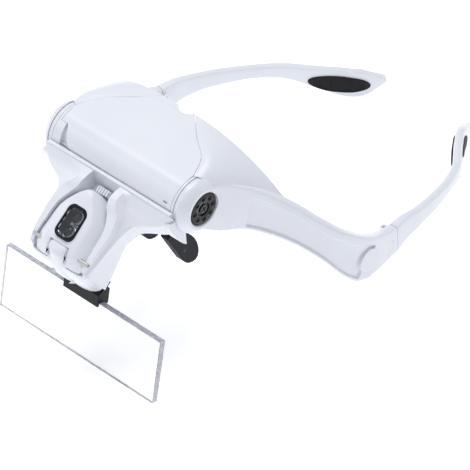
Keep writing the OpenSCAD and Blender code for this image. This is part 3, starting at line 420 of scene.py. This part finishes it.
def new_tree(name, inputs):
    """A geometry tree with named inputs and one output."""
    tree = bpy.data.node_groups.new(name, "GeometryNodeTree")
    tree.interface.new_socket("Geometry", in_out="OUTPUT", socket_type="NodeSocketGeometry")
    for label, (kind, value) in inputs.items():
        socket = tree.interface.new_socket(label, in_out="INPUT", socket_type="NodeSocket" + kind)
        socket.default_value = value
    return tree, put(tree, "NodeGroupInput").outputs


def end_tree(tree, source, material):
    """Makes instances real, gives them their finish and sends them out."""
    real = put(tree, "GeometryNodeRealizeInstances", {"Geometry": source})
    done = put(tree, "GeometryNodeSetMaterial", {"Geometry": real.outputs[0]}, Material=material)
    put(tree, "NodeGroupOutput", {"Geometry": done.outputs[0]})


def grown(tree, **values):
    """Runs a tree with these input values and returns its mesh."""
    host = bpy.data.objects.new(tree.name, bpy.data.meshes.new(tree.name))
    bpy.context.scene.collection.objects.link(host)
    run = host.modifiers.new("grow", "NODES")
    run.node_group = tree
    for item in tree.interface.items_tree:
        if item.in_out == "INPUT" and item.name in values:
            run[item.identifier] = values[item.name]
    done = host.evaluated_get(bpy.context.evaluated_depsgraph_get())
    mesh = bpy.data.meshes.new_from_object(done)
    bpy.data.objects.remove(host)
    return mesh


def stand(name, mesh, body, slot_name, *replaced):
    """Puts a finished mesh in the scene on its body."""
    piece = bpy.data.objects.new(name, mesh)
    bpy.context.scene.collection.objects.link(piece)
    for face in mesh.polygons:
        face.use_smooth = True
    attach(piece, body)
    if replaced:
        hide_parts(*replaced)
    print(name, len(mesh.polygons), "faces on", body)


# %% [markdown]
# ## The tongue over the lamp's hinge
# On the real bracket the tongue is a soft ridge that swells as it runs from the hinge down to the lens
# clip and fades into the chin. A loft makes it: seven stations down the tongue, each with its place, its
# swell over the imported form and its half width, and a cross-section that falls off like a low dune.

# %% Ridge of the tongue
stations = [(0, 3.0, 0, 5.1), (-1.6, 2.7, 0.15, 5.1), (-3.1, 1.5, 0.3, 5.15), (-4.5, -1.6, 0.6, 5.2),
    (-6.3, -6, 0.9, 5.7), (-7.8, -11, 0.9, 6.8), (-8.4, -14.6, 0.1, 7.8)]
hinge_at = Vector(next(j["pos_m"] for j in record["behaviour"]["joints"] if j["name"] == "lamp_aim"))


def between(rows, t):
    """Row at place t on a smooth curve through the rows."""
    i = min(int(t), len(rows) - 2)
    u = t - i
    a, b, c, d = rows[max(i - 1, 0)], rows[i], rows[i + 1], rows[min(i + 2, len(rows) - 1)]
    return [0.5 * (2 * q + u * (r - p) + u * u * (2 * p - 5 * q + 4 * r - s)
        + u ** 3 * (3 * q - p - 3 * r + s)) for p, q, r, s in zip(a, b, c, d)]


ring_count = 25
half_points = 12
border, underside = 2.1, 2.8
form = bmesh.new()
rings = []
shares = [i / half_points for i in range(-half_points, half_points + 1)]
for step in range(ring_count):
    t = step / (ring_count - 1) * (len(stations) - 1)
    y, z, swell, half = between(stations, t)
    before, after = between(stations, max(t - 0.1, 0)), between(stations, min(t + 0.1, len(stations) - 1))
    run = Vector((after[0] - before[0], after[1] - before[1])).normalized()
    out = Vector((run.y, -run.x))
    section = [(f * half, swell - (swell + border) * abs(f) ** 3) for f in shares]
    section += [(half, -underside), (-half, -underside)]
    rings.append([form.verts.new(hinge_at + (Vector((x, 0, 0)) - down_deck * (y + out.x * h)
        + off_deck * (z + out.y * h)) * MM) for x, h in section])
for one, two in zip(rings, rings[1:]):
    for i in range(len(one)):
        form.faces.new((one[i], one[(i + 1) % len(one)], two[(i + 1) % len(one)], two[i]))
form.faces.new(rings[0])
form.faces.new(rings[-1])
bmesh.ops.recalc_face_normals(form, faces=form.faces)
ridge = bpy.data.meshes.new("tongue_ridge")
form.to_mesh(ridge)
form.free()
ridge.materials.append(abs_white)
stand("tongue_ridge", ridge, "bracket", slot_of["bracket"])
ridge.set_sharp_from_angle(angle=math.radians(50))

# %% [markdown]
# ## Tension knobs
# Each knob is a turned disc with a well round its screw and eight dimples that give the thumb a hold. The
# disc is a profile spun about the tilt axis. The dimples are balls that a node tree sets in a ring, and
# one Boolean cut takes them out of the disc, which is how a tool's pins would form them.

# %% Tree for a ring of balls
ring_tree, given = new_tree("ring_of_balls", {"Count": ("Int", 8), "Ring": ("Float", 5 * MM),
    "Ball": ("Float", MM)})
ring = put(ring_tree, "GeometryNodeMeshCircle", {"Vertices": given["Count"], "Radius": given["Ring"]})
ball = put(ring_tree, "GeometryNodeMeshUVSphere", {"Radius": given["Ball"]}, Segments=20, Rings=12)
set_balls = put(ring_tree, "GeometryNodeInstanceOnPoints", {"Points": ring.outputs["Mesh"],
    "Instance": ball.outputs["Mesh"]})
end_tree(ring_tree, set_balls.outputs["Instances"], abs_gloss)
print("made", ring_tree.name)

# %% Knobs
dimple_count = 8
dimple_ring = 5.05 * MM
dimple_ball = 1.15 * MM
dimple_lift = 0.35 * MM
steps = 64
for name in ("left_knob", "right_knob"):
    low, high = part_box(name)
    side = 1 if high[0] > 0 else -1
    middle = Vector((0, (low[1] + high[1]) / 2, (low[2] + high[2]) / 2))
    inner, outer = sorted((abs(low[0]), abs(high[0])))
    radius = (high[1] - low[1]) / 2
    top = outer - 0.1 * MM
    profile = [(inner, 1.5 * MM), (inner, radius - 0.2 * MM), (inner + 0.2 * MM, radius),
        (top - 0.5 * MM, radius), (top - 0.2 * MM, radius - 0.15 * MM), (top, radius - 0.6 * MM),
        (top, 3.3 * MM), (top - 0.15 * MM, 3.05 * MM), (top - 0.8 * MM, 2.9 * MM), (top - 0.9 * MM, 2.7 * MM),
        (top - 0.9 * MM, 2.1 * MM), (inner + 1.02 * MM, 2.1 * MM), (inner + 1.02 * MM, 1.5 * MM)]
    form = bmesh.new()
    rows = [[form.verts.new((side * x, middle.y + r * math.cos(a), middle.z + r * math.sin(a)))
        for a in (2 * math.pi * i / steps for i in range(steps))] for x, r in profile]
    for one, two in zip(rows, rows[1:] + rows[:1]):
        for i in range(steps):
            form.faces.new((one[i], one[(i + 1) % steps], two[(i + 1) % steps], two[i]))
    bmesh.ops.recalc_face_normals(form, faces=form.faces)
    disc = bpy.data.meshes.new(name + "_disc")
    form.to_mesh(disc)
    form.free()
    disc.materials.append(abs_gloss)
    balls = grown(ring_tree, Count=dimple_count, Ring=dimple_ring, Ball=dimple_ball)
    over_face = Matrix.Translation((side * (top + dimple_lift), middle.y, middle.z))
    balls.transform(over_face @ Matrix.Rotation(math.pi / 2, 4, "Y"))
    cutter = bpy.data.objects.new("balls", balls)
    bpy.context.scene.collection.objects.link(cutter)
    blank = bpy.data.objects.new("blank", disc)
    bpy.context.scene.collection.objects.link(blank)
    cut = blank.modifiers.new("dimples", "BOOLEAN")
    cut.object = cutter
    cut.solver = "EXACT"
    mesh = bpy.data.meshes.new_from_object(blank.evaluated_get(bpy.context.evaluated_depsgraph_get()))
    bpy.data.objects.remove(cutter)
    bpy.data.objects.remove(blank)
    stand(name + "_dimpled", mesh, body_of[name], slot_of[name], name)
    mesh.set_sharp_from_angle(angle=math.radians(38))

# %% [markdown]
# ## Battery springs
# A cell is pressed at both ends by a coil of 0.4 mm wire wound round the stud of its contact. A spiral
# curve with a round profile gives the wire, and one tree serves all four ends.

# %% Tree for a coil, and the coils
coil_tree, given = new_tree("coil", {"Turns": ("Float", 4.5), "Radius": ("Float", 2.3 * MM),
    "Length": ("Float", 2.2 * MM), "Wire": ("Float", 0.2 * MM)})
path = put(coil_tree, "GeometryNodeCurveSpiral", {"Rotations": given["Turns"],
    "Start Radius": given["Radius"], "End Radius": given["Radius"], "Height": given["Length"]},
    Resolution=28)
wire = put(coil_tree, "GeometryNodeCurvePrimitiveCircle", {"Radius": given["Wire"]}, Resolution=10)
swept = put(coil_tree, "GeometryNodeCurveToMesh", {"Curve": path.outputs[0],
    "Profile Curve": wire.outputs[0]}, Fill_Caps=True)
end_tree(coil_tree, swept.outputs[0], steel)
coils = bmesh.new()
low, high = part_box("battery_contacts")
stud = 2.9 * MM
inset = 3.4 * MM
coil_radius, wire_radius = 2.3 * MM, 0.2 * MM
for cell in ((low[1] + inset, low[2] + inset), (high[1] - inset, high[2] - inset)):
    for side in (-1, 1):
        coil = grown(coil_tree, Turns=4.5, Radius=coil_radius, Length=stud - 0.45 * MM,
            Wire=wire_radius)
        coil.transform(Matrix.Translation((side * (high[0] - stud - 0.02 * MM), cell[0], cell[1]))
            @ Matrix.Rotation(side * math.pi / 2, 4, "Y") @ Matrix.Translation((0, 0, 0.22 * MM)))
        coils.from_mesh(coil)
wound = bpy.data.meshes.new("battery_springs")
coils.to_mesh(wound)
coils.free()
wound.materials.append(steel)
stand("battery_springs", wound, body_of["battery_contacts"], slot_of["battery_contacts"])

# %% [markdown]
# ## Rubber ovals on the temples
# Inside each paddle lies a rubber oval that grips the head, outside it a thinner one. The paddle's face
# bows, so the oval is drawn flat, as rings of points, and each point is dropped on the moulding by a ray.
# Its border is smooth and rolled. The inner oval's field lies 0.3 mm lower and takes a row of ribs, 0.8 mm
# apart, which a node tree makes as long as an ellipse is wide at their place. They are dropped the same way.

# %% Tree for a row of ribs
rib_tree, given = new_tree("rib_row", {"Count": ("Int", 26), "Length": ("Float", 36 * MM),
    "Half Width": ("Float", 4 * MM), "Rib": ("Float", 0.28 * MM)})
ahead = put(rib_tree, "ShaderNodeMath", {0: given["Length"]}, {1: 0.5}, operation="MULTIPLY")
behind = put(rib_tree, "ShaderNodeMath", {0: given["Length"]}, {1: -0.5}, operation="MULTIPLY")
start = put(rib_tree, "ShaderNodeCombineXYZ", {"X": behind.outputs[0]})
stop = put(rib_tree, "ShaderNodeCombineXYZ", {"X": ahead.outputs[0]})
row = put(rib_tree, "GeometryNodeMeshLine", {"Count": given["Count"], "Start Location": start.outputs[0],
    "Offset": stop.outputs[0]}, mode="END_POINTS")
spine = put(rib_tree, "GeometryNodeCurvePrimitiveLine", None, {"Start": (0, -1, 0), "End": (0, 1, 0)})
divided = put(rib_tree, "GeometryNodeResampleCurve", {"Curve": spine.outputs[0]}, {"Count": 15})
round_bar = put(rib_tree, "GeometryNodeCurvePrimitiveCircle", {"Radius": given["Rib"]}, {"Resolution": 8})
bar = put(rib_tree, "GeometryNodeCurveToMesh", {"Curve": divided.outputs[0],
    "Profile Curve": round_bar.outputs[0]}, {"Fill Caps": True})
position = put(rib_tree, "GeometryNodeInputPosition")
place = put(rib_tree, "ShaderNodeSeparateXYZ", {"Vector": position.outputs[0]})
share = put(rib_tree, "ShaderNodeMath", {0: place.outputs["X"], 1: ahead.outputs[0]}, operation="DIVIDE")
square = put(rib_tree, "ShaderNodeMath", {0: share.outputs[0], 1: share.outputs[0]}, operation="MULTIPLY")
left_over = put(rib_tree, "ShaderNodeMath", {1: square.outputs[0]}, {0: 1.03}, operation="SUBTRACT")
arc = put(rib_tree, "ShaderNodeMath", {0: left_over.outputs[0]}, operation="SQRT")
reach = put(rib_tree, "ShaderNodeMath", {0: arc.outputs[0], 1: given["Half Width"]}, operation="MULTIPLY")
stretch = put(rib_tree, "ShaderNodeCombineXYZ", {"Y": reach.outputs[0]}, {"X": 1.0, "Z": 1.0})
set_bars = put(rib_tree, "GeometryNodeInstanceOnPoints", {"Points": row.outputs["Mesh"],
    "Instance": bar.outputs[0], "Scale": stretch.outputs[0]})
end_tree(rib_tree, set_bars.outputs["Instances"], rubber)
print("made", rib_tree.name)

# %% Helpers for the ovals


def seat_on(node, carrier, facing):
    """Where a pad lies on its temple: middle, directions, half sizes and the temple's surface."""
    points = [v.co.copy() for v in nodes[node].data.vertices]
    first, last = min(points, key=lambda p: p.y), max(points, key=lambda p: p.y)
    middle = (first + last) / 2
    along = (last - first).normalized()
    out = along.cross(Vector((0, 0, 1))).normalized()
    if out.x * middle.x * facing < 0:
        out = -out
    across = out.cross(along)
    high = [(p - middle).dot(across) for p in points]
    middle = middle + across * (max(high) + min(high)) / 2
    skin = nodes[carrier].data
    surface = BVHTree.FromPolygons([v.co for v in skin.vertices], [f.vertices for f in skin.polygons])
    return middle, along, across, out, (last - first).length / 2, (max(high) - min(high)) / 2, surface


def drop_on(mesh, seat):
    """Lays a flat mesh on the temple: x and y along its face, z out of it."""
    middle, along, across, out, _, _, surface = seat
    missed = 0
    for v in mesh.vertices:
        above = middle + along * v.co.x + across * v.co.y + out * 8 * MM
        hit = surface.ray_cast(above, -out)[0]
        missed += hit is None
        v.co = (hit if hit else above - out * 8 * MM) + out * v.co.z
    return missed


def oval(half_length, half_height, rows):
    """A closed oval cushion from rows of share of the radius and height, from middle to middle."""
    form = bmesh.new()
    steps = 72
    loops = [[form.verts.new((half_length * share * math.cos(a), half_height * share * math.sin(a), height))
        for a in (2 * math.pi * i / steps for i in range(steps))] for share, height in rows[1:-1]]
    for one, two in zip(loops, loops[1:]):
        for i in range(steps):
            form.faces.new((one[i], two[i], two[(i + 1) % steps], one[(i + 1) % steps]))
    for loop, (_, height) in ((loops[0], rows[0]), (loops[-1], rows[-1])):
        tip = form.verts.new((0, 0, height))
        for i in range(steps):
            form.faces.new((tip, loop[i], loop[(i + 1) % steps]))
    bmesh.ops.recalc_face_normals(form, faces=form.faces)
    mesh = bpy.data.meshes.new("oval")
    form.to_mesh(mesh)
    form.free()
    mesh.materials.append(rubber)
    return mesh


# %% Ribbed pads inside the paddles and thin grips outside
sunk = 0.3 * MM
under = 0.03 * MM
rib_count = 28
for side in ("left", "right"):
    for kind, facing, thick, ribbed in (("_temple_pad", -1, 0.95, True), ("_temple_grip", 1, 0.45, False)):
        node = side + kind
        seat = seat_on(node, side + "_temple", facing)
        half_length, half_height = seat[4], seat[5]
        top = thick * MM
        field = top - sunk if ribbed else top
        rows = [(0, field), (0.25, field), (0.5, field), (0.7, field), (0.8, field),
            (0.83, top - 0.05 * MM), (0.87, top), (0.93, top * 0.95), (0.98, top * 0.72),
            (1, top * 0.4), (1, under), (0.75, under), (0.5, under), (0.25, under), (0, under)]
        mesh = oval(half_length, half_height, rows)
        missed = drop_on(mesh, seat)
        stand(node + "_oval", mesh, body_of[node], slot_of[node], node)
        print(node, "half sizes", round(half_length / MM, 1), round(half_height / MM, 1), "missed", missed)
        if ribbed:
            ribs = grown(rib_tree, Count=rib_count, Length=half_length * 1.5, Rib=0.27 * MM,
                **{"Half Width": half_height * 0.77})
            ribs.transform(Matrix.Translation((0, 0, field - 0.02 * MM)))
            missed = drop_on(ribs, seat)
            stand(node + "_ribs", ribs, body_of[node], slot_of[node])
            print("ribs missed", missed)

# %% [markdown]
# ## The studio
# The photograph is a product shot on pure white: a bright sweep under the object, a big soft box
# overhead and a second one from the left, so that shade is only a little bluer and greyer than light.

# %% Floor and lights
sweep = bpy.data.materials.new("white_sweep")
sweep.use_nodes = True
sweep.node_tree.nodes.clear()
tree = sweep.node_tree
close(tree, put(tree, "ShaderNodeBsdfPrincipled", Base_Color=paint("#FBFBFC"), Roughness=0.9,
    Emission_Color=paint("#FFFFFF"), Emission_Strength=0.42))
mesh = bpy.data.meshes.new("floor")
half_floor = 4.0
mesh.from_pydata([(x * half_floor, y * half_floor, 0) for x, y in ((-1, -1), (1, -1), (1, 1), (-1, 1))],
    [], [(0, 1, 2, 3)])
mesh.materials.append(sweep)
floor = bpy.data.objects.new("floor", mesh)
bpy.context.scene.collection.objects.link(floor)

world = bpy.data.worlds.new("studio")
world.use_nodes = True
world.node_tree.nodes.clear()
sky = put(world.node_tree, "ShaderNodeBackground", Color=paint("#F4F7FF"), Strength=0.5)
put(world.node_tree, "ShaderNodeOutputWorld", {"Surface": sky.outputs[0]})
bpy.context.scene.world = world


def softbox(name, place, target, size, watts, code):
    """A square area light that faces a point."""
    lamp = bpy.data.lights.new(name, "AREA")
    lamp.size = size
    lamp.energy = watts
    lamp.color = paint(code)[:3]
    box = bpy.data.objects.new(name, lamp)
    bpy.context.scene.collection.objects.link(box)
    box.location = place
    box.rotation_euler = (Vector(target) - Vector(place)).to_track_quat("-Z", "Y").to_euler()


softbox("top_box", (-0.25, 0.1, 1.3), (0, 0, 0.05), 0.9, 9.0, "#FFFFFF")
softbox("left_box", (-1.1, -0.7, 0.7), (0, 0, 0.05), 0.7, 2.2, "#FFFFFF")

# %% [markdown]
# ## The camera
# The viewpoint was solved from the photograph: the left and right halves of the object are mirror
# images, so pairs of matching points give the direction, the roll and the distance.

# %% Camera
eye = Vector((0.96578, -0.97568, 1.17017))
right = Vector((0.71953, 0.69415, -0.02084))
up = Vector((-0.43925, 0.47815, 0.76054))
lens = bpy.data.cameras.new("camera")
lens.lens = 324.59
lens.sensor_width = 36
lens.clip_end = 20
camera = bpy.data.objects.new("camera", lens)
bpy.context.scene.collection.objects.link(camera)
turn = Matrix((right, up, right.cross(up))).transposed().to_4x4()
camera.matrix_world = Matrix.Translation(eye) @ turn
bpy.context.scene.camera = camera
bpy.context.scene.view_settings.view_transform = "Standard"
print("camera", lens.lens, "mm")
